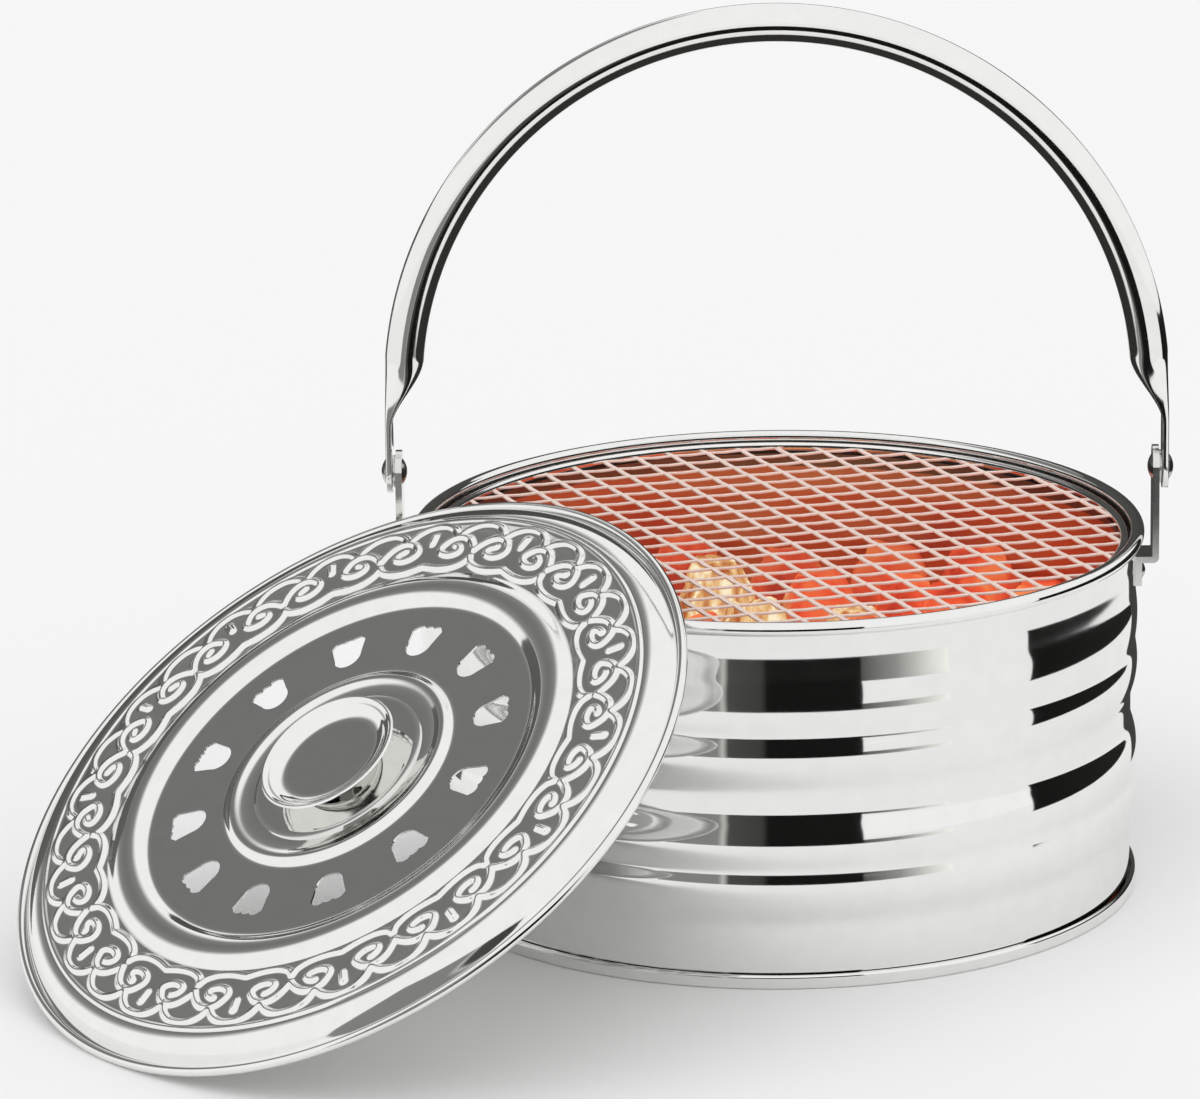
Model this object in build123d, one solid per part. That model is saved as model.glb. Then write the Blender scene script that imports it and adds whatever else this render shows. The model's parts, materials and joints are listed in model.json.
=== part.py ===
from build123d import *
import os
from math import asin, cos, hypot, pi, radians, sin, sqrt

# A lidded charcoal fire pot: a beaded drum of polished steel sheet with a rolled rim, charcoal on
# a grate, a wire net over it, a hollow carrying bail, and a pressed lid that leans on the rim.
# Millimetres. The origin is the centre of the drum's foot, Z is up, the bail's pivots lie along X,
# and the lid leans on the side of -X and -Y.

# Sheet and clearances
sheet = 0.8
seat_gap = 0.3
running_gap = 0.05
wire_slack = 0.02

# Drum
drum_height = 171.4
waist_radius = 164.0
neck_swell = 2.0
foot_flange = 3.0
foot_height = 6.4
belt_bulge = 3.0
belt_dip = 1.2
lower_belt_bottom = 31.0
belt_height = 48.0
upper_belt_bottom = 93.0
flare_height = 10.5
flare_out = 1.4
rim_roll = 3.25
rim_overhang = 4.0

# Net and the ledge that carries it
ledge_drop = 9.4
ledge_reach = 7.0
ledge_skirt = 8.0
ledge_sheet = 1.0
hoop_wire = 2.3
net_strand = 1.8
net_sheet = 1.0
net_cell_along = (16.6, 4.9)
net_cell_across = (-6.7, 13.9)

# Fire grate, its legs and the charcoal
grate_height = 88.0
grate_sheet = 3.0
grate_edge_gap = 4.0
slot_width = 7.0
slot_bridge = 9.0
slot_half_span = 55.0
leg_radius = 5.0
leg_inset = 41.2
leg_count = 4
leg_flange_radius = 9.0
leg_flange = 2.0
lump_pitch = 47.0
lump_gap = 1.5
lump_bed_gap = 7.0
lump_heights = (38.0, 46.0, 41.0, 50.0, 43.0)
lump_foot_share = 0.82
lump_top_share = 0.62
lump_waist_share = 0.45
lump_top_height_share = 0.9
lump_roughness = 0.16
lump_tilt = 7.0

# Ears and pivots
pivot_rise = 25.6
lug_gap = 3.5
ear_sheet = 3.0
ear_width = 20.0
ear_flange_gap = 1.0
washer_thickness = 1.0
washer_radius = 7.5
pivot_radius = 3.0
pivot_head_radius = 6.0
pivot_head = 2.2
ear_rivet_radius = 2.0
ear_rivet_head = 3.6
ear_rivet_dome = 1.5
ear_rivet_spread = 2.3

# Bail
bow_proud = 0.4
bow_rise = 38.0
bow_width = 18.0
bow_depth = 13.0
bow_sheet = 1.2
seam_width = 2.4
strap_sheet = 3.0
strap_width = 20.0
press_start = 5.6
press_end = 22.0

# Lid, with its heights measured from the plane of its edge
lid_sheet = 0.9
lid_inset = 0.7
lid_roll = 2.2
skirt_width = 12.0
skirt_foot_height = 2.6
skirt_bulge = 1.4
band_width = 35.8
band_height = 10.6
band_inner_rise = 0.4
band_crown = 1.0
ridge_width = 19.3
ridge_crest = 3.6
field_height = 10.8
hub_radius = 57.0
hub_bead_width = 7.0
hub_bead_rise = 2.6
hub_slope_width = 5.5
hub_drop = 0.6
petal_count = 12
petal_turn = 12.5
petal_margin = 12.8
petal_length = 17.0
petal_width = 17.5
petal_round = 7.0
lid_turn = 49.2
lid_tilt = 35.4

# Knob
knob_foot_radius = 42.0
knob_waist = 15.0
knob_rise = 5.6
dish_lip_radius = 33.4
dish_lip_rise = 11.2
dish_floor_radius = 19.5
dish_step_radius = 29.0
dish_step_drop = 1.6
lip_roll = 0.9
stud_radius = 3.0
stud_drop = 9.0
nut_flats = 10.0
nut_height = 5.0
knob_washer_radius = 11.0
knob_washer_thickness = 1.2

# Sizes that follow from the ones above
foot_radius = waist_radius + foot_flange
neck_radius = waist_radius + neck_swell
rim_outer_radius = neck_radius + rim_overhang
ledge_top = drum_height - ledge_drop
leg_circle = waist_radius - sheet - grate_edge_gap - leg_inset
pivot_height = drum_height + pivot_rise
lug_inner = rim_outer_radius + lug_gap
ear_flange_bottom = upper_belt_bottom + belt_height + ear_flange_gap
rim_center_radius = rim_outer_radius - rim_roll
rim_center_height = drum_height - rim_roll
neck_inner = neck_radius - sheet
flare_top = rim_center_height - rim_roll / 2
ear_step_height = flare_top - flare_height
ear_rivet_height = (ear_flange_bottom + ear_step_height) / 2
rim_wire_radius = rim_roll - sheet - wire_slack
hoop_radius = rim_center_radius - rim_roll - seat_gap - hoop_wire
hoop_height = ledge_top + seat_gap + hoop_wire
lid_radius = rim_outer_radius - lid_inset
lid_roll_center = lid_radius - lid_roll
skirt_foot = (lid_radius - 2 * lid_roll - sheet / 2, skirt_foot_height)
band_outer = (skirt_foot[0] - skirt_width, band_height)
skirt_mid = ((skirt_foot[0] + band_outer[0]) / 2 + skirt_bulge,
             (skirt_foot[1] + band_outer[1]) / 2 + skirt_bulge)
ridge_outer = (band_outer[0] - band_width, field_height + band_inner_rise)
band_middle = ((band_outer[0] + ridge_outer[0]) / 2, (band_outer[1] + ridge_outer[1]) / 2 + band_crown)
ridge_inner = (ridge_outer[0] - ridge_width, field_height)
ridge_top = ((ridge_outer[0] + ridge_inner[0]) / 2, (ridge_outer[1] + ridge_inner[1]) / 2 + ridge_crest)
hub_foot = (hub_radius, field_height)
hub_groove = (hub_radius - hub_bead_width, field_height + hub_bead_rise / 2)
hub_bead = ((hub_foot[0] + hub_groove[0]) / 2, field_height + hub_bead_rise)
hub_slope = (hub_groove[0] - hub_slope_width, field_height + hub_drop)
petal_outer = ridge_inner[0] - petal_margin
petal_inner = petal_outer - petal_length
strap_inner = lug_inner + ear_sheet + washer_thickness + seat_gap
strap_center = strap_inner + strap_sheet / 2
bow_radius = strap_inner + strap_sheet + bow_proud - bow_width / 2
bow_center_height = pivot_height + bow_rise

os.makedirs("parts", exist_ok=True)


def save(name, *solids):
    """Write one named piece, or one group of like pieces."""
    made = [s for shape in solids for s in shape.solids()]
    piece = made[0] if len(made) == 1 else Compound(made)
    export_step(piece, f"parts/{name}.step")
    print(name, len(made), round(sum(s.volume for s in made)))


def spun(face):
    """Turn a section drawn in the XZ plane round the Z axis."""
    return revolve(face, Axis.Z, 360)


def ring(radius_a, radius_b, low, high):
    """A plain ring between two radii and two heights."""
    section = Polyline((radius_a, low), (radius_b, low), (radius_b, high), (radius_a, high), close=True)
    return spun(Plane.XZ * make_face(section))


def bent_sheet(edges, thickness, side):
    """The section of a sheet whose outer face follows the edges."""
    outline = Wire(edges).offset_2d(thickness, kind=Kind.ARC, side=side, closed=True)
    return Plane.XZ * Face(outline)


# Drum wall

def drum_path():
    """The wall's outer face from the foot's flange up into the neck's flare."""
    flange_out = foot_radius - sheet
    low = sheet * 2
    points = [(flange_out, low), (waist_radius, low)]
    edges = [Line(points[0], points[1])]
    here = points[1]
    for bottom, above in ((lower_belt_bottom, waist_radius), (upper_belt_bottom, neck_radius)):
        quarter = belt_height / 4
        crest = waist_radius + belt_bulge
        dip = crest - belt_dip
        start = (waist_radius, bottom)
        middle = (dip, bottom + 2 * quarter)
        end = (above, bottom + belt_height)
        edges.append(Line(here, start))
        edges.append(ThreePointArc(start, (crest, bottom + quarter), middle))
        edges.append(ThreePointArc(middle, (crest, bottom + 3 * quarter), end))
        here = end
    flare_bottom = (neck_radius, flare_top - flare_height)
    edges.append(Line(here, flare_bottom))
    edges.append(Line(flare_bottom, (neck_radius + flare_out, flare_top)))
    return edges


def drum_wall():
    wall = spun(bent_sheet(drum_path(), sheet, Side.LEFT))
    with_roll = Plane.XZ * (Pos(rim_center_radius, rim_center_height) * Circle(rim_roll))
    hollow = Plane.XZ * (Pos(rim_center_radius, rim_center_height) * Circle(rim_roll - sheet))
    return wall + spun(with_roll) - spun(hollow)


def rim_wire():
    section = Plane.XZ * (Pos(rim_center_radius, rim_center_height) * Circle(rim_wire_radius))
    return spun(section)


def drum_base():
    """A flat pan whose edge is turned up and in round the wall's flange."""
    lip_inner = waist_radius + sheet
    edge_inner = foot_radius - sheet
    pan = Polyline(
        (0, 0), (foot_radius, 0), (foot_radius, foot_height), (lip_inner, foot_height),
        (lip_inner, foot_height - sheet), (edge_inner, foot_height - sheet), (edge_inner, sheet),
        (0, sheet), close=True)
    return spun(Plane.XZ * make_face(pan))


# Net

def net_ledge():
    """An angle ring fixed inside the neck, whose top carries the net's hoop."""
    inner = neck_inner - ledge_reach
    low = ledge_top - ledge_skirt
    section = Polyline(
        (neck_inner, low), (neck_inner, ledge_top), (inner, ledge_top), (inner, ledge_top - ledge_sheet),
        (neck_inner - ledge_sheet, ledge_top - ledge_sheet), (neck_inner - ledge_sheet, low), close=True)
    return spun(Plane.XZ * make_face(section))


def net_hoop():
    return spun(Plane.XZ * (Pos(hoop_radius, hoop_height) * Circle(hoop_wire)))


def net_mesh():
    """Expanded sheet: one disc with a slanted lattice of gaps, set into the hoop."""
    reach = hoop_radius - hoop_wire / 2
    clear = reach - hoop_wire
    along = Vector(*net_cell_along)
    across = Vector(*net_cell_across)
    corner_angle = along.get_angle(across)
    shrink_along = net_strand / sin(radians(corner_angle)) / along.length
    shrink_across = net_strand / sin(radians(corner_angle)) / across.length
    half_a = along * (0.5 - shrink_along / 2)
    half_b = across * (0.5 - shrink_across / 2)
    disc = Circle(reach)
    gaps = []
    steps = int(2 * reach / min(along.length, across.length))
    for i in range(-steps, steps + 1):
        for j in range(-steps, steps + 1):
            middle = along * i + across * j
            corners = [middle - half_a - half_b, middle + half_a - half_b,
                       middle + half_a + half_b, middle - half_a + half_b]
            inside = sum(1 for c in corners if c.length < clear)
            if inside == 4:
                gaps.append(Wire.make_polygon(corners))
            elif inside == 3:
                kept = [c for c in corners if c.length < clear]
                gaps.append(Wire.make_polygon(kept))
    sheet_face = Face(disc.face().outer_wire(), gaps)
    print("net gaps", len(gaps))
    return Pos(0, 0, hoop_height - net_sheet / 2) * extrude(sheet_face, net_sheet)


# Grate and charcoal

def fire_grate():
    """A disc with rows of slots, each slot as long as the disc allows."""
    radius = waist_radius - sheet - grate_edge_gap
    plate = Pos(0, 0, grate_height - grate_sheet) * extrude(Circle(radius), grate_sheet)
    step = slot_width + slot_bridge
    rows = int(radius * 2 / step) // 2
    for row in range(-rows, rows + 1):
        y = row * step
        reach = (radius - slot_bridge) ** 2 - (abs(y) + slot_width / 2) ** 2
        if reach < (2 * slot_width) ** 2:
            continue
        half = sqrt(reach)
        parts = max(1, round(half / slot_half_span))
        length = 2 * half / parts - slot_bridge
        for k in range(parts):
            x = -half + (k + 0.5) * 2 * half / parts
            slot = extrude(SlotOverall(length, slot_width), grate_sheet)
            plate = plate - Pos(x, y, grate_height - grate_sheet) * slot
    return plate


def grate_legs():
    """Round posts, each with a flange that stands on the bottom pan."""
    low = sheet
    high = grate_height - grate_sheet
    section = Polyline(
        (0, low), (leg_flange_radius, low), (leg_flange_radius, low + leg_flange),
        (leg_radius, low + leg_flange), (leg_radius, high), (0, high), close=True)
    post = spun(Plane.XZ * make_face(section))
    turns = [360 / leg_count * (k + 0.5) for k in range(leg_count)]
    return [Rot(0, 0, a) * Pos(leg_circle, 0, 0) * post for a in turns]


def lump(seed, radius, height):
    """A broken piece of charcoal: a faceted block that narrows to a tilted top."""
    sides = 6 + seed % 2
    def outline(scale, turn):
        points = []
        for k in range(sides):
            angle = 2 * pi * k / sides + turn
            wobble = 1 - lump_roughness * abs(sin(seed * 1.7 + k * 2.3))
            points.append((radius * scale * wobble * cos(angle), radius * scale * wobble * sin(angle)))
        return make_face(Polyline(*points, close=True))
    turn = 0.37 * seed
    low = outline(lump_foot_share, turn)
    mid = Pos(0, 0, lump_waist_share * height) * outline(1.0, turn)
    lean = Rot(lump_tilt * sin(seed), lump_tilt * cos(seed * 1.3), 0)
    top = Pos(0, 0, lump_top_height_share * height) * lean * outline(lump_top_share, turn)
    return loft([low, mid], ruled=True) + loft([mid, top], ruled=True)


def charcoal():
    """Rings of lumps that fill the grate, sorted by how far each has burned."""
    kinds = {"charcoal_dark": [], "charcoal_glowing": [], "charcoal_ashy": []}
    number = 0
    circle = waist_radius - sheet - lump_bed_gap - lump_pitch / 2
    while circle > lump_pitch / 2:
        count = int(pi / asin(lump_pitch / 2 / circle))
        for k in range(count):
            number += 1
            angle = 2 * pi * k / count + number * 0.01
            x = circle * cos(angle)
            y = circle * sin(angle)
            height = lump_heights[number % len(lump_heights)]
            block = lump(number, (lump_pitch - lump_gap) / 2, height)
            kind = "charcoal_dark" if x < -0.2 * y - 40 else "charcoal_glowing"
            if -75 < x < 10 and -150 < y < -30:
                kind = "charcoal_ashy"
            kinds[kind].append(Pos(x, y, grate_height) * block)
        circle -= lump_pitch
    return kinds


# Ears, pivots and rivets, made for the side of +X and turned over for the other

def ear_plate():
    """A stepped bracket: a curved flange on the neck, a step under the rim, an upright lug."""
    flange_outer = neck_radius + ear_sheet
    lug_outer = lug_inner + ear_sheet
    flange = ring(neck_radius, flange_outer, ear_flange_bottom, ear_step_height)
    step = Pos((neck_radius + lug_outer) / 2, 0, ear_step_height - ear_sheet / 2) * Box(
        lug_outer - neck_radius, ear_width, ear_sheet)
    step = step - ring(0, neck_radius, ear_flange_bottom, ear_step_height)
    lug_low = ear_step_height - ear_sheet
    lug = Pos(lug_inner + ear_sheet / 2, 0, (lug_low + pivot_height) / 2) * Box(
        ear_sheet, ear_width, pivot_height - lug_low)
    top = Pos(lug_inner, 0, pivot_height) * (Rot(0, 90, 0) * extrude(Circle(ear_width / 2), ear_sheet))
    band = Pos(flange_outer, 0, pivot_height / 2) * Box(4 * ear_sheet, ear_width, pivot_height)
    ear = (flange & band) + step + lug + top
    bend = [e for e in ear.edges() if abs(e.center().X - lug_outer) < 0.01
            and abs(e.center().Z - lug_low) < 0.01]
    ear = fillet(bend, ear_sheet * 0.9)
    ear = ear - pin_along_x(pivot_radius, lug_inner - 1, lug_outer + 1, pivot_height)
    for turn in (-ear_rivet_spread, ear_rivet_spread):
        hole = pin_along_x(ear_rivet_radius, neck_radius - 4, flange_outer + 4, ear_rivet_height)
        ear = ear - Rot(0, 0, turn) * hole
    return ear


def pin_along_x(radius, start, end, height):
    return Pos(start, 0, height) * (Rot(0, 90, 0) * extrude(Circle(radius), end - start))


def dome_along_x(radius, rise, start, height):
    """A low rivet head that stands up along +X from its flat side."""
    ball = (radius ** 2 + rise ** 2) / (2 * rise)
    half = asin(radius / ball) / 2
    bulge = ThreePointArc((radius, 0), (ball * sin(half), rise - ball + ball * cos(half)), (0, rise))
    section = make_face([bulge, Line((0, rise), (0, 0)), Line((0, 0), (radius, 0))])
    head = spun(Plane.XZ * section)
    return Pos(start, 0, height) * (Rot(0, 90, 0) * head)


def pivot_rivet():
    inner_face = lug_inner
    outer_face = strap_inner + strap_sheet + seat_gap
    shank = pin_along_x(pivot_radius, inner_face, outer_face, pivot_height)
    outer = dome_along_x(pivot_head_radius, pivot_head, outer_face, pivot_height)
    inner = Pos(2 * inner_face, 0, 2 * pivot_height) * (
        Rot(0, 180, 0) * dome_along_x(pivot_head_radius, pivot_head, inner_face, pivot_height))
    return shank + outer + inner


def pivot_washer():
    start = lug_inner + ear_sheet
    disc = pin_along_x(washer_radius, start, start + washer_thickness, pivot_height)
    return disc - pin_along_x(pivot_radius, start - 1, start + washer_thickness + 1, pivot_height)


def ear_rivet():
    """A short rivet through the wall and the ear's flange, headed at both ends."""
    drop = neck_inner - sqrt(neck_inner ** 2 - ear_rivet_head ** 2)
    inside = neck_inner - drop
    outside = neck_radius + ear_sheet
    shank = pin_along_x(ear_rivet_radius, inside, outside, ear_rivet_height)
    outer = dome_along_x(ear_rivet_head, ear_rivet_dome, outside, ear_rivet_height)
    inner = Pos(2 * inside, 0, 2 * ear_rivet_height) * (
        Rot(0, 180, 0) * dome_along_x(ear_rivet_head, ear_rivet_dome / 2, inside, ear_rivet_height))
    return shank + outer + inner


def both_sides(shape):
    return [shape, Rot(0, 0, 180) * shape]


def rivet_holes():
    holes = []
    for side in (0, 180):
        for turn in (-ear_rivet_spread, ear_rivet_spread):
            hole = pin_along_x(ear_rivet_radius, neck_inner - 3, neck_radius + 1, ear_rivet_height)
            holes.append(Rot(0, 0, side + turn) * hole)
    return holes


# Bail

def bail():
    """A bow rolled from strip to an open-seamed oval, its ends pressed flat and pierced."""
    oval = Ellipse(bow_width / 2, bow_depth / 2)
    bore = Ellipse(bow_width / 2 - bow_sheet, bow_depth / 2 - bow_sheet)
    seam = Pos(-bow_width / 2, 0) * Rectangle(bow_width / 2, seam_width)
    flat = Plane(origin=(bow_radius, 0, bow_center_height), x_dir=(1, 0, 0), z_dir=(0, 0, 1))
    turn_axis = Axis((0, 0, bow_center_height), (0, -1, 0))
    section = (flat * (oval - bore - seam)).rotate(turn_axis, press_start)
    bow = revolve(section, turn_axis, 180 - 2 * press_start)
    full = (flat * oval).rotate(turn_axis, press_start)
    pressed = Plane(origin=(strap_center, 0, pivot_height + press_end), x_dir=(1, 0, 0), z_dir=(0, 0, 1))
    thin = pressed * Ellipse(strap_sheet / 2, strap_width / 2)
    taper = loft([thin, full])
    strap = Pos(strap_center, 0, pivot_height + press_end / 2) * Box(strap_sheet, strap_width, press_end)
    eye = pin_along_x(strap_width / 2, strap_inner, strap_inner + strap_sheet, pivot_height)
    hole = pin_along_x(pivot_radius + running_gap, strap_inner - 1, strap_inner + strap_sheet + 1,
                       pivot_height)
    leg = taper + strap + eye - hole
    return bow + leg + Rot(0, 0, 180) * leg


# Lid, drawn level with its edge plane at zero, then leaned on the rim

def lid_path():
    """The lid's upper face from its edge roll in to its middle."""
    dip = hub_slope
    return [
        Line((lid_roll_center - 0.6 * lid_roll, skirt_foot[1] - 0.6), skirt_foot),
        ThreePointArc(skirt_foot, skirt_mid, band_outer),
        ThreePointArc(band_outer, band_middle, ridge_outer),
        ThreePointArc(ridge_outer, ridge_top, ridge_inner),
        Line(ridge_inner, hub_foot),
        ThreePointArc(hub_foot, hub_bead, hub_groove),
        Line(hub_groove, dip),
        Line(dip, (0, dip[1])),
    ]


def petal():
    """One cut-out: round towards the hub, straight and wider on the outside."""
    tip = petal_inner + petal_round
    half = petal_width / 2
    wide = [Line((tip, petal_round), (petal_outer - 2, half)),
            Line((petal_outer - 2, half), (petal_outer, half * 0.8)),
            ThreePointArc((petal_outer, half * 0.8), (petal_outer + 0.8, 0), (petal_outer, -half * 0.8)),
            Line((petal_outer, -half * 0.8), (petal_outer - 2, -half)),
            Line((petal_outer - 2, -half), (tip, -petal_round)),
            ThreePointArc((tip, -petal_round), (petal_inner, 0), (tip, petal_round))]
    return Pos(0, 0, ridge_inner[1] - 2 * lid_sheet) * extrude(make_face(wide), 4 * lid_sheet)


def lid_shell():
    shell = spun(bent_sheet(lid_path(), lid_sheet, Side.LEFT))
    roll = spun(Plane.XZ * (Pos(lid_roll_center, lid_roll) * Circle(lid_roll)))
    hollow = spun(Plane.XZ * (Pos(lid_roll_center, lid_roll) * Circle(lid_roll - lid_sheet)))
    shell = shell + roll - hollow
    shell = shell - Pos(0, 0, hub_slope[1] - 5) * extrude(Circle(stud_radius), 10)
    for k in range(petal_count):
        shell = shell - Rot(0, 0, petal_turn + 360 / petal_count * k) * petal()
    return shell


def lid_rim_wire():
    wire_radius = lid_roll - lid_sheet - wire_slack
    return spun(Plane.XZ * (Pos(lid_roll_center, lid_roll) * Circle(wire_radius)))


def knob_foot():
    """A spun flare that sits on the hub and narrows to the knob's waist."""
    low = hub_slope[1]
    high = low + knob_rise
    flare = [
        Line((knob_foot_radius, low + lid_sheet), (knob_foot_radius - 2, low + lid_sheet * 1.6)),
        ThreePointArc((knob_foot_radius - 2, low + lid_sheet * 1.6),
                      ((knob_foot_radius + knob_waist) / 2 - 3, low + knob_rise * 0.42),
                      (knob_waist, high)),
        Line((knob_waist, high), (0, high)),
        Line((0, high), (0, low)),
        Line((0, low), (knob_foot_radius, low)),
        Line((knob_foot_radius, low), (knob_foot_radius, low + lid_sheet)),
    ]
    foot = spun(Plane.XZ * make_face(flare))
    return foot - Pos(0, 0, low - 1) * extrude(Circle(stud_radius), knob_rise + 2)


def knob_dish():
    """The dish that the fingers hold under its lip, stepped down to a flat floor."""
    floor = hub_slope[1] + knob_rise
    lip = hub_slope[1] + dish_lip_rise
    step_height = lip - dish_step_drop
    upper = [
        Line((0, floor + lid_sheet), (dish_floor_radius, floor + lid_sheet)),
        ThreePointArc((dish_floor_radius, floor + lid_sheet),
                      ((dish_floor_radius + dish_step_radius) / 2 + 2, floor + lid_sheet + 1.2),
                      (dish_step_radius, step_height)),
        Line((dish_step_radius, step_height), (dish_lip_radius - lip_roll, lip - lid_sheet / 2)),
    ]
    dish = spun(bent_sheet(upper, lid_sheet, Side.RIGHT))
    return dish + spun(Plane.XZ * (Pos(dish_lip_radius - lip_roll, lip - lip_roll) * Circle(lip_roll)))


def knob_stud():
    """A stud welded under the dish's floor, down through the foot and the lid."""
    high = hub_slope[1] + knob_rise
    low = hub_slope[1] - stud_drop
    return Pos(0, 0, low) * extrude(Circle(stud_radius), high - low)


def knob_washer():
    high = hub_slope[1] - lid_sheet
    disc = Circle(knob_washer_radius) - Circle(stud_radius)
    return Pos(0, 0, high - knob_washer_thickness) * extrude(disc, knob_washer_thickness)


def knob_nut():
    high = hub_slope[1] - lid_sheet - knob_washer_thickness
    hexagon = RegularPolygon(nut_flats / 2, 6, major_radius=False) - Circle(stud_radius)
    return Pos(0, 0, high - nut_height) * extrude(hexagon, nut_height)


def lean_sizes():
    """The lean's sine and cosine, and how far the edge roll shifts the foot and the middle."""
    tilt = radians(lid_tilt)
    foot_shift = lid_roll * (1 - cos(tilt)) / sin(tilt)
    middle = lid_roll_center + lid_roll * sin(tilt) - foot_shift * cos(tilt)
    return sin(tilt), cos(tilt), foot_shift, middle


def lean_reach():
    """How far out the lid's edge plane meets the floor, for its underside to meet the rim."""
    rise, run, foot_shift, middle = lean_sizes()
    under = ridge_outer[1] - lid_sheet - rim_roll - seat_gap
    for step in range(400):
        side_angle = radians(0.1 * step)
        inward = rim_center_radius * cos(side_angle)
        reach = inward + (rim_center_height * run - under) / rise
        uphill = (reach - inward) * run + rim_center_height * rise - middle
        if hypot(uphill, rim_center_radius * sin(side_angle)) >= ridge_outer[0]:
            break
    return reach


def lid_plane():
    """The plane of the lid's edge as it leans, its X axis level and its Y axis uphill."""
    rise, run, foot_shift, middle = lean_sizes()
    turn = radians(lid_turn)
    out = Vector(-sin(turn), -cos(turn), 0)
    uphill = out * -run + Vector(0, 0, rise)
    normal = out * rise + Vector(0, 0, run)
    center = out * lean_reach() + uphill * middle
    return Plane(origin=center, x_dir=uphill.cross(normal), z_dir=normal)


wall = drum_wall()
for hole in rivet_holes():
    wall = wall - hole
save("drum_wall", wall)
save("rim_wire", rim_wire())
save("drum_base", drum_base())
save("net_ledge", net_ledge())
hoop = net_hoop()
save("net_hoop", hoop)
save("net_mesh", net_mesh() - hoop)
save("fire_grate", fire_grate())
save("grate_legs", *grate_legs())
for kind_name, blocks in charcoal().items():
    save(kind_name, *blocks)
right_ear = ear_plate()
save("ear_right", right_ear)
save("ear_left", Rot(0, 0, 180) * right_ear)
save("pivot_rivets", *both_sides(pivot_rivet()))
save("pivot_washers", *both_sides(pivot_washer()))
rivets = [Rot(0, 0, turn) * ear_rivet() for turn in (-ear_rivet_spread, ear_rivet_spread)]
save("ear_rivets", *[half for rivet in rivets for half in both_sides(rivet)])
save("bail", bail())
leaned = lid_plane().location
lid_pieces = {"lid_shell": lid_shell, "lid_rim_wire": lid_rim_wire, "knob_foot": knob_foot,
              "knob_dish": knob_dish, "knob_stud": knob_stud, "knob_washer": knob_washer,
              "knob_nut": knob_nut}
for piece_name, make in lid_pieces.items():
    save(piece_name, leaned * make())
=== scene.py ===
import json
import math

import bpy
import numpy as np
from mathutils import Matrix, Vector


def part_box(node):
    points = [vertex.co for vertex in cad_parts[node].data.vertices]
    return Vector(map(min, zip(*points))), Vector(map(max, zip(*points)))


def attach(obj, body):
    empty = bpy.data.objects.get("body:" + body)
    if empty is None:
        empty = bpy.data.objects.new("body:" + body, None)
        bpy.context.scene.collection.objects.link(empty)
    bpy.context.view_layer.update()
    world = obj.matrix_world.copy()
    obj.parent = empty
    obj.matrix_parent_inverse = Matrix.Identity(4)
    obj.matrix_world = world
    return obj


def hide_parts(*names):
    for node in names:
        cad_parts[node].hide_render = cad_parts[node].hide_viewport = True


bl_info = {
    "name": "Charcoal fire pot",
    "version": (1, 0, 0),
    "blender": (4, 5, 0),
    "location": "3D View > Sidebar > Fire pot",
    "description": "Dresses the packed fire pot: polished steel, net, charcoal, bail and lid",
    "category": "Object",
}

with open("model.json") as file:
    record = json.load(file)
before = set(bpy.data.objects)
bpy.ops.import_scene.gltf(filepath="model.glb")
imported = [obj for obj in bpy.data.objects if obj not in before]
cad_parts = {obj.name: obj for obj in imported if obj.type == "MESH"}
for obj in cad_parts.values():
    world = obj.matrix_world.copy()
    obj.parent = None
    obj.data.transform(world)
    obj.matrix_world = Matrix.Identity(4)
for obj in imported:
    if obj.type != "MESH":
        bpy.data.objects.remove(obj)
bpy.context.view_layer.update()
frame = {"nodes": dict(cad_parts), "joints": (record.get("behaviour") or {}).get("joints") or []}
MM = 0.001


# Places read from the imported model, in millimetres

def middle_of(node):
    """The middle of a node's box."""
    low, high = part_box(node)
    return (low + high) / 2 / MM


def joint_axis(name):
    joint = next(j for j in frame["joints"] if j["name"] == name)
    return Vector(joint["axis"]).normalized()


WALL_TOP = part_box("drum_wall")[1].z / MM
ROLLED_SHEET = 0.8
RIM_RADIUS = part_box("rim_wire")[1].x / MM + ROLLED_SHEET
PIVOT_Z = next(j for j in frame["joints"] if j["name"] == "bail_swing")["pos_m"][2] / MM
BAIL_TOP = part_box("bail")[1].z / MM
HOOP_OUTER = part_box("net_hoop")[1].x / MM
HOOP_Z = middle_of("net_hoop").z
LID_NORMAL = joint_axis("lid_lift")
LID_EDGE_ROLL = 2.2
LID_LEVEL = Vector((-LID_NORMAL.y, LID_NORMAL.x, 0)).normalized() * -1
LID_UPHILL = LID_NORMAL.cross(LID_LEVEL)
LID_MIDDLE = middle_of("lid_rim_wire") - LID_NORMAL * LID_EDGE_ROLL


def lid_matrix():
    """Takes the lid's own level frame to where the lid leans, in metres."""
    turn = Matrix((LID_LEVEL, LID_UPHILL, LID_NORMAL)).transposed().to_4x4()
    return Matrix.Translation(LID_MIDDLE * MM) @ turn


# Sections: a line is a list of (radius, height) in millimetres

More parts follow.
